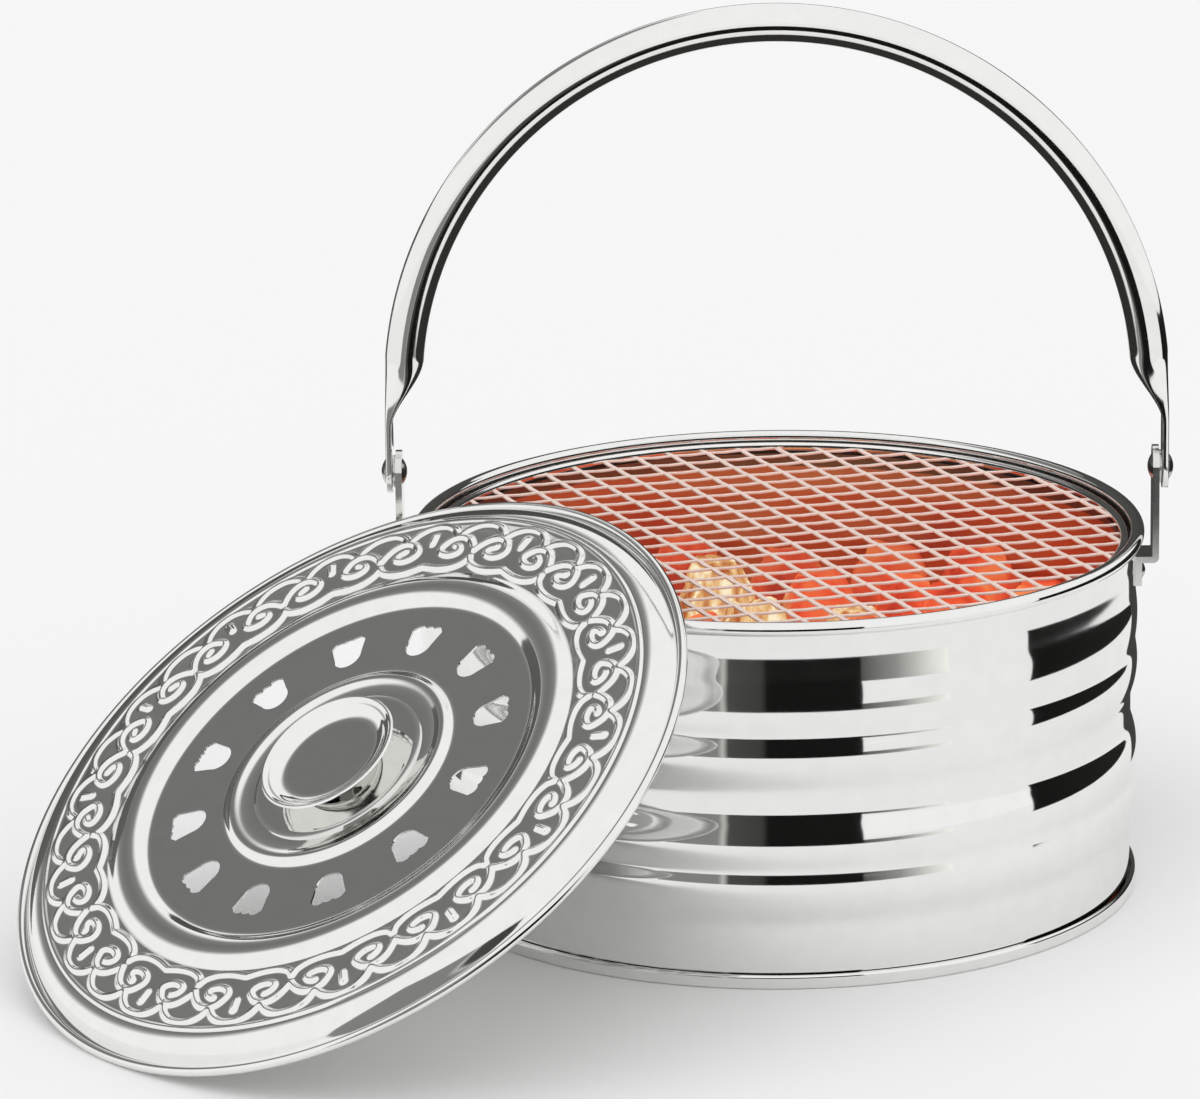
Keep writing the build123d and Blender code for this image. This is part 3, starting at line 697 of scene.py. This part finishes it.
class FIREPOT_OT_bail(bpy.types.Operator):
    """Forms the hollow bail: a rolled bow pinched at both ends into flat straps"""
    bl_idname = "firepot.bail"
    bl_label = "Bail"

    def execute(self, context):
        sizes = context.scene.fire_pot
        stations = bail_stations()
        bpy.ops.object.select_all(action="DESELECT")
        bpy.ops.mesh.primitive_grid_add(x_subdivisions=len(stations) - 1, y_subdivisions=RING_POINTS,
                                        size=1, location=(0, 0, 0))
        bail = context.object
        bail.name = "bail_bow"
        last = len(stations) - 1
        for vertex in bail.data.vertices:
            x, z, nx, nz, thick, wide, square = stations[round((vertex.co.x + 0.5) * last)]
            turn = 2 * math.pi * (vertex.co.y + 0.5)
            c, s = math.cos(turn), math.sin(turn)
            out = thick * math.copysign(abs(c) ** (2 / square), c)
            side = wide * math.copysign(abs(s) ** (2 / square), s)
            seam = max(0, 1 - (abs(side) / (SEAM_WIDTH / 2)) ** 4) if c < 0 and square < SEAM_BELOW else 0
            out += SEAM_DEPTH * seam
            vertex.co = ((x + nx * out) * MM, side * MM, (z + nz * out) * MM)
        take(bail)
        bpy.ops.object.mode_set(mode="EDIT")
        bpy.ops.mesh.select_all(action="SELECT")
        bpy.ops.mesh.remove_doubles(threshold=0.000005)
        bpy.ops.mesh.select_all(action="DESELECT")
        bpy.ops.mesh.select_non_manifold()
        bpy.ops.mesh.edge_face_add()
        bpy.ops.mesh.select_all(action="SELECT")
        bpy.ops.mesh.normals_make_consistent(inside=False)
        bpy.ops.object.mode_set(mode="OBJECT")
        smooth(bail, 45)
        steel = polished_steel("buffed stainless tube", sizes.steel_colour, 0.06, 45, 0.10)
        finish_piece(bail, steel, "bail", ["bail"])
        return {"FINISHED"}


# The lid, in its own frame: its edge plane level at zero, X along the level line, Y uphill

SKIRT_FOOT, BAND_OUTER, BAND_INNER = (164.5, 2.6), (152.5, 10.6), (116.7, 11.2)
RIDGE_INNER, FIELD_HEIGHT, HUB_RADIUS = 97.4, 10.8, 57.0
BAND_CROWN = 1.0
LID_SHEET = 0.9
PETALS, PETAL_TURN = 12, 12.5
PETAL_INNER, PETAL_OUTER, PETAL_WIDTH, PETAL_ROUND = 67.6, 84.6, 17.5, 7.0
CUT_DEPTH = 4
LID_EDGE_OUTER = 169.3
BAND_STEPS, BAND_RINGS = 1440, 60
SCROLL_MODULES, SCROLL_TURN = 16, 2.3
# One half of a scroll, from its middle line: degrees round the lid and radius in millimetres
SCROLL_ARCH = [(0, 122.3), (2.8, 120.8), (5.3, 120.3), (8, 121), (10.3, 123.5), (11.25, 127)]
SCROLL_VOLUTE = [(5.9, 134), (7.2, 132.5), (7.7, 130.1), (6.6, 128.4), (5, 128.1), (3.4, 129.5), (2.7, 132),
                 (3.3, 135), (4.6, 138), (6.6, 139.2), (8.6, 137.6), (10.2, 134.2), (11.2, 131)]
SCROLL_SCALLOP = [(0, 147.5), (2, 146.8), (4, 144), (5.6, 140.3), (7.2, 144), (9.2, 146.8), (11.25, 147.5)]
SCROLL_DROP = [(0, 136), (0, 141)]
SCROLL_BEAD = [(0, 150.6), (11.25, 150.6)]


def band_height(radius):
    """The height of the scroll band's ground at a radius."""
    part = (radius - BAND_INNER[0]) / (BAND_OUTER[0] - BAND_INNER[0])
    return BAND_INNER[1] + (BAND_OUTER[1] - BAND_INNER[1]) * part + 4 * BAND_CROWN * part * (1 - part)


def lid_line():
    """The lid's upper face from its edge roll in to its middle."""
    middle = (134.6, band_height(134.6))
    line = [(165.8, 2.0), SKIRT_FOOT] + arc(SKIRT_FOOT, (159.9, 8.0), BAND_OUTER, 14)[1:]
    line += arc(BAND_OUTER, middle, BAND_INNER, 14)[1:]
    line += arc(BAND_INNER, (107.1, 14.6), (RIDGE_INNER, FIELD_HEIGHT), 16)[1:]
    line += [(HUB_RADIUS, FIELD_HEIGHT)]
    line += arc((HUB_RADIUS, FIELD_HEIGHT), (53.5, 13.4), (50.0, 12.1), 10)[1:]
    return line + [(44.5, 11.4), (0, 11.4)]


def smooth_curve(points, count=8):
    """A Catmull-Rom curve through the points."""
    padded = [points[0]] + points + [points[-1]]
    curve = []
    for a, b, c, d in zip(padded, padded[1:], padded[2:], padded[3:]):
        for k in range(count):
            t = k / count
            curve.append(tuple(0.5 * (2 * b[n] + (c[n] - a[n]) * t
                                      + (2 * a[n] - 5 * b[n] + 4 * c[n] - d[n]) * t * t
                                      + (3 * b[n] - a[n] - 3 * c[n] + d[n]) * t ** 3) for n in (0, 1)))
    return curve + [points[-1]]


def scroll_relief(degrees, radii, height, half_width):
    """Heights of the raised lines over one module, for a grid of angles and radii."""
    middle_arc = math.radians(1) * 134
    grid_x = degrees[:, None] * middle_arc + 0 * radii[None, :]
    grid_y = radii[None, :] + 0 * degrees[:, None]
    relief = np.zeros_like(grid_x)
    strokes = [(SCROLL_ARCH, 1.0), (SCROLL_VOLUTE, 1.0), (SCROLL_SCALLOP, 0.9), (SCROLL_DROP, 1.1),
               (SCROLL_BEAD, 0.6)]
    for points, weight in strokes:
        curve = smooth_curve(points) if len(points) > 2 else points
        nearest = np.full_like(grid_x, 1e9)
        for mirror in (1, -1):
            line = np.array([(mirror * a * middle_arc, r) for a, r in curve])
            for (x0, y0), (x1, y1) in zip(line, line[1:]):
                run = (x1 - x0) ** 2 + (y1 - y0) ** 2
                part = np.clip(((grid_x - x0) * (x1 - x0) + (grid_y - y0) * (y1 - y0)) / run, 0, 1)
                gap = np.hypot(grid_x - x0 - part * (x1 - x0), grid_y - y0 - part * (y1 - y0))
                nearest = np.minimum(nearest, gap)
        relief = np.maximum(relief, weight * height * np.exp(-(nearest / half_width) ** 2))
    return relief


def petal_cutter():
    """One cutter for the lid's petals: round towards the hub, wide and scalloped outside."""
    tip = PETAL_INNER + PETAL_ROUND
    half = PETAL_WIDTH / 2
    outline = arc((tip, -PETAL_ROUND), (PETAL_INNER, 0), (tip, PETAL_ROUND), 16)
    outline += [(PETAL_OUTER - 2, half), (PETAL_OUTER, half * 0.8)]
    for low, high in ((0.8, 0.27), (0.27, -0.27), (-0.27, -0.8)):
        outline += arc((PETAL_OUTER, half * low), (PETAL_OUTER + 0.9, half * (low + high) / 2),
                       (PETAL_OUTER, half * high), 5)[1:]
    outline += [(PETAL_OUTER - 2, -half)]
    bpy.ops.object.select_all(action="DESELECT")
    bpy.ops.mesh.primitive_circle_add(vertices=len(outline), fill_type="NGON", location=(0, 0, 0))
    cutter = bpy.context.object
    for vertex, (x, y) in zip(cutter.data.vertices, outline):
        vertex.co = (x * MM, y * MM, (FIELD_HEIGHT - CUT_DEPTH) * MM)
    bpy.ops.object.mode_set(mode="EDIT")
    bpy.ops.mesh.select_all(action="SELECT")
    bpy.ops.mesh.extrude_region_move(TRANSFORM_OT_translate={"value": (0, 0, 2 * CUT_DEPTH * MM)})
    bpy.ops.mesh.select_all(action="SELECT")
    bpy.ops.mesh.normals_make_consistent(inside=False)
    bpy.ops.object.mode_set(mode="OBJECT")
    return cutter


class FIREPOT_OT_lid(bpy.types.Operator):
    """Presses the lid: rolled edge, skirt, ridge, pierced field and hub"""
    bl_idname = "firepot.lid"
    bl_label = "Lid"

    def execute(self, context):
        sizes = context.scene.fire_pot
        line = eased(lid_line(), 1.3, 2)
        in_band = (line[:, 0] > BAND_INNER[0] + 1) & (line[:, 0] < BAND_OUTER[0] - 1)
        line[in_band, 1] -= 0.35
        lid = spin_piece("lid_pressing", sheet_section(line, LID_SHEET), sizes.spin_steps)
        cutter = petal_cutter()
        for k in range(PETALS):
            blade = cutter.copy()
            blade.data = cutter.data.copy()
            blade.data.transform(Matrix.Rotation(math.radians(PETAL_TURN + 360 / PETALS * k), 4, "Z"))
            context.scene.collection.objects.link(blade)
            apply_modifier(lid, "BOOLEAN", "petal", operation="DIFFERENCE", object=blade, solver="EXACT")
            bpy.data.objects.remove(blade)
        bpy.data.objects.remove(cutter)
        lid.data.transform(lid_matrix())
        smooth(lid, 40)
        steel = polished_steel("buffed stainless lid sheet", sizes.steel_colour, 0.07, 45, 0.10)
        finish_piece(lid, steel, "lid", ["lid_shell"])
        roll = wire_section(LID_EDGE_OUTER - LID_EDGE_ROLL, LID_EDGE_ROLL, LID_EDGE_ROLL, 20)
        edge = spin_piece("lid_rolled_edge", roll, sizes.spin_steps)
        edge.data.transform(lid_matrix())
        smooth(edge, 60)
        finish_piece(edge, steel, "lid")
        return {"FINISHED"}


class FIREPOT_OT_scrolls(bpy.types.Operator):
    """Embosses the band of scrolls on the lid"""
    bl_idname = "firepot.scrolls"
    bl_label = "Scroll band"

    def execute(self, context):
        sizes = context.scene.fire_pot
        per_module = BAND_STEPS // SCROLL_MODULES
        degrees = (np.arange(per_module) + 0.5) * 360 / BAND_STEPS - 180 / SCROLL_MODULES
        radii = np.linspace(BAND_INNER[0] + 0.2, BAND_OUTER[0] - 0.2, BAND_RINGS + 1)
        relief = scroll_relief(degrees, radii, sizes.scroll_height, sizes.scroll_width)
        ground = np.array([band_height(r) for r in radii])
        ground[0] -= 0.5
        ground[-1] -= 0.5
        bpy.ops.object.select_all(action="DESELECT")
        bpy.ops.mesh.primitive_grid_add(x_subdivisions=BAND_STEPS, y_subdivisions=BAND_RINGS, size=1,
                                        location=(0, 0, 0))
        band = context.object
        band.name = "scroll_band"
        for vertex in band.data.vertices:
            step = round((vertex.co.x + 0.5) * BAND_STEPS) % BAND_STEPS
            ring = round((vertex.co.y + 0.5) * BAND_RINGS)
            angle = math.radians(SCROLL_TURN + degrees[0] + step * 360 / BAND_STEPS)
            height = ground[ring] + relief[step % per_module, ring]
            vertex.co = (radii[ring] * math.cos(angle) * MM, radii[ring] * math.sin(angle) * MM, height * MM)
        take(band)
        bpy.ops.object.mode_set(mode="EDIT")
        bpy.ops.mesh.select_all(action="SELECT")
        bpy.ops.mesh.remove_doubles(threshold=0.000002)
        bpy.ops.mesh.normals_make_consistent(inside=False)
        bpy.ops.object.mode_set(mode="OBJECT")
        band.data.transform(lid_matrix())
        if (band.data.polygons[0].normal.dot(LID_NORMAL)) < 0:
            band.data.flip_normals()
        smooth(band, 80)
        steel = polished_steel("buffed stainless scroll band", sizes.steel_colour, 0.11, 20, 0.03)
        finish_piece(band, steel, "lid")
        return {"FINISHED"}


# The knob, in the lid's frame

HUB_TOP = 11.4


class FIREPOT_OT_knob(bpy.types.Operator):
    """Turns the knob's flared foot and its dish"""
    bl_idname = "firepot.knob"
    bl_label = "Knob"

    def execute(self, context):
        sizes = context.scene.fire_pot
        steel = polished_steel("spun stainless knob", sizes.steel_colour, 0.05, 25, 0.04)
        flare = [(0, HUB_TOP), (42, HUB_TOP), (42, HUB_TOP + 0.9)]
        flare += arc((40, HUB_TOP + 1.4), (25.5, HUB_TOP + 2.35), (15, HUB_TOP + 5.6), 20)
        flare += [(0, HUB_TOP + 5.6)]
        foot = spin_piece("knob_flare", flare, 192)
        floor, lip = HUB_TOP + 5.6, HUB_TOP + 11.2
        bowl = [(0, floor + 0.9), (19.5, floor + 0.9)]
        bowl += arc((19.5, floor + 0.9), (26.2, floor + 2.1), (29, lip - 1.6), 14)[1:]
        bowl += arc((29, lip - 1.6), (30.2, lip - 1.45), (31.5, lip - 0.7), 5)[1:]
        bowl += arc((31.5, lip - 0.7), (32.6, lip - 0.05), (33.4, lip - 0.9), 8)[1:]
        line = eased(bowl, 0.6, 2)
        dish = spin_piece("knob_bowl", sheet_section(line, -0.9), 192)
        for piece, node in ((foot, "knob_foot"), (dish, "knob_dish")):
            piece.data.transform(lid_matrix())
            smooth(piece, 40)
            finish_piece(piece, steel, "lid", [node])
        return {"FINISHED"}


class FIREPOT_OT_fittings(bpy.types.Operator):
    """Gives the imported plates, rivets, washers, wires and grate their finishes"""
    bl_idname = "firepot.fittings"
    bl_label = "Fittings"

    def execute(self, context):
        plate = polished_steel("polished plate", "#E2E2E0", 0.12, 20, 0.05)
        rivet = polished_steel("bright rivet steel", "#C4C4C2", 0.18, 8, 0.03)
        wire = plain_material("drawn plain steel", "#8C8C8C", 1, 0.4, 3)
        # Painted firelight: the black iron grate gets a dull red glow, though it is no lamp.
        iron = glowing_charcoal("black iron grate with painted firelight glow", "#C83A1E", "#8A1E10", "#3A0E08", 0.8)
        finishes = {
            plate: ("ear_left", "ear_right"),
            rivet: ("ear_rivets", "pivot_rivets", "pivot_washers", "knob_stud", "knob_washer", "knob_nut"),
            wire: ("rim_wire", "lid_rim_wire", "net_ledge"),
            iron: ("fire_grate", "grate_legs"),
        }
        for material, nodes in finishes.items():
            for node in nodes:
                data = frame["nodes"][node].data
                data.materials.clear()
                data.materials.append(material)
        return {"FINISHED"}


class FIREPOT_PT_panel(bpy.types.Panel):
    """Lists the fire pot's pieces in the sidebar"""
    bl_idname = "FIREPOT_PT_panel"
    bl_label = "Fire pot"
    bl_space_type = "VIEW_3D"
    bl_region_type = "UI"
    bl_category = "Fire pot"

    def draw(self, context):
        for name in FirePotSizes.__annotations__:
            self.layout.prop(context.scene.fire_pot, name)
        for operator in OPERATORS:
            self.layout.operator(operator.bl_idname)


OPERATORS = (FIREPOT_OT_stage, FIREPOT_OT_drum, FIREPOT_OT_net, FIREPOT_OT_charcoal, FIREPOT_OT_bail,
             FIREPOT_OT_lid, FIREPOT_OT_scrolls, FIREPOT_OT_knob, FIREPOT_OT_fittings)


def register():
    for kind in (FirePotSizes, *OPERATORS, FIREPOT_PT_panel):
        bpy.utils.register_class(kind)
    bpy.types.Scene.fire_pot = bpy.props.PointerProperty(type=FirePotSizes)


def unregister():
    del bpy.types.Scene.fire_pot
    for kind in (FIREPOT_PT_panel, *reversed(OPERATORS), FirePotSizes):
        bpy.utils.unregister_class(kind)


def main():
    register()
    for operator in OPERATORS:
        group, name = operator.bl_idname.split(".")
        getattr(getattr(bpy.ops, group), name)()


if __name__ == "__main__":
    main()
